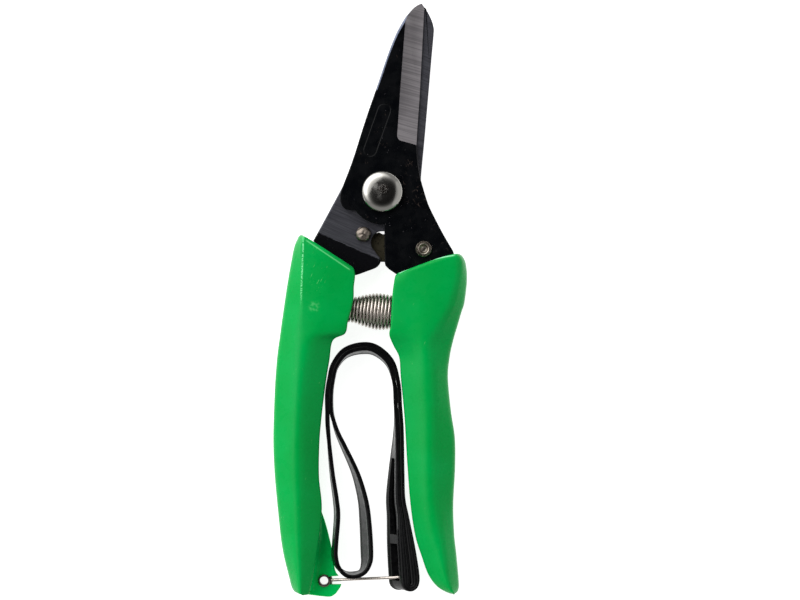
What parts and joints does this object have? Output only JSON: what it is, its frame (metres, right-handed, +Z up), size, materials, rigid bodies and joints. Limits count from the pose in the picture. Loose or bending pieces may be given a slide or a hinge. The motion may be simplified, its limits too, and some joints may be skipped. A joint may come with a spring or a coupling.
{
  "type": "bypass pruner",
  "caption": "Bypass pruner with slim tapered blades, domed pivot bolt, lock lever, barrel spring, moulded handles and a rubber wrist strap on a wire link, lying closed",
  "frame": {"origin": "middle of the bounding box in plan, on the surface that the closed tool lies on", "axes": "+Y runs along the tool towards the blade tips, +Z points up out of the front face, +X to the right handle"},
  "size_m": [0.062, 0.1902, 0.015],
  "materials": {
    "coated_steel": "semi-gloss black coating with fine specks and rubbed edges, bare brushed steel on the ground bevel",
    "ground_steel": "dark satin ground steel, black coated below the ground band",
    "polished_steel": "polished plated steel with light handling marks",
    "zinc_steel": "plain plated steel",
    "lever_steel": "dull olive-grey pressed steel",
    "spring_steel": "bright drawn wire",
    "green_plastic": "bright green moulded plastic, satin gloss, faintly mottled and scuffed",
    "black_rubber": "smooth black moulded rubber with raised rims"
  },
  "bodies": {
    "rear_half": {"rear_blade": "ground_steel", "left_handle": "green_plastic", "pivot_bolt": "polished_steel", "pivot_washer": "zinc_steel", "pivot_nut": "zinc_steel", "stop_pin": "zinc_steel", "strap_eyelet": "zinc_steel", "spring": "spring_steel", "wrist_strap": "black_rubber"},
    "front_half": {"front_blade": "coated_steel", "right_handle": "green_plastic", "lever_rivet": "polished_steel", "lever_spacer": "zinc_steel", "lever_washer": "zinc_steel"},
    "lever": {"lock_lever": "lever_steel"},
    "link": {"wire_link": "spring_steel"}
  },
  "joints": [
    {"name": "blade_pivot", "type": "hinge", "parent": "rear_half", "child": "front_half", "pos_m": [0.0039, 0.035, 0.0075], "axis": [0, 0, 1], "range_deg": [0, 28], "deforming": ["spring"]},
    {"name": "lock_swing", "type": "hinge", "parent": "front_half", "child": "lever", "pos_m": [0.0171, 0.0167, 0.0037], "axis": [0, 0, 1], "range_deg": [-12, 0]},
    {"name": "link_swing", "type": "hinge", "parent": "rear_half", "child": "link", "pos_m": [-0.01485, -0.0898, 0.002], "axis": [0, 0, 1], "range_deg": [-6, 6], "deforming": ["wrist_strap"]}
  ]
}
